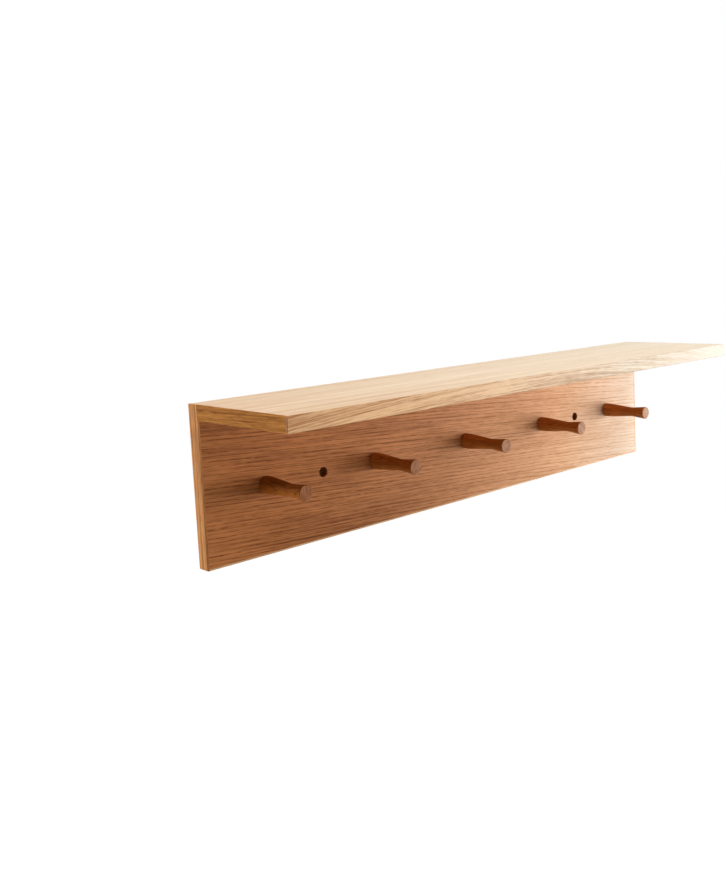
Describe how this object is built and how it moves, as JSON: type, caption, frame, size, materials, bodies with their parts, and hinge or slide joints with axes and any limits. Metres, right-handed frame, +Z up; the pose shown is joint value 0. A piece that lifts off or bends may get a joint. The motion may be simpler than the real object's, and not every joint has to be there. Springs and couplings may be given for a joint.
{
  "type": "shaker peg rail with shelf",
  "caption": "Wall-hung oak rail: a tall back board carries a row of waisted turned pegs and counterbored screw holes, with a flat shelf butted square along its top edge.",
  "frame": {"origin": "on the back board's rear face, midway between the two wall screw holes", "axes": "+X along the rail to the right as seen from the front, +Y into the wall, +Z up; the pegs and the shelf stand out towards -Y"},
  "size_m": [0.8, 0.174, 0.178],
  "materials": {
    "core_board": "raw particle board, seen only inside the screw counterbores",
    "board_veneer": "oiled oak veneer, satin, long straight grain",
    "shelf_veneer": "oiled pale oak veneer, satin, long straight grain",
    "front_lipping": "oiled oak lipping, satin, flat-sawn figure",
    "edge_band": "oiled oak edge band, satin, grain along the edge",
    "turned_peg": "oiled turned oak, satin",
    "dowel": "raw beech"
  },
  "bodies": {
    "root": {"back_board_core": "core_board", "back_board_front_veneer": "board_veneer", "back_board_rear_veneer": "board_veneer", "back_board_left_band": "edge_band", "back_board_right_band": "edge_band", "back_board_bottom_band": "edge_band", "back_board_top_band": "edge_band", "shelf_core": "core_board", "shelf_top_veneer": "shelf_veneer", "shelf_bottom_veneer": "shelf_veneer", "shelf_front_lipping": "front_lipping", "shelf_left_band": "edge_band", "shelf_right_band": "edge_band", "peg_1": "turned_peg", "peg_2": "turned_peg", "peg_3": "turned_peg", "peg_4": "turned_peg", "peg_5": "turned_peg", "shelf_dowels": "dowel"}
  },
  "joints": []
}
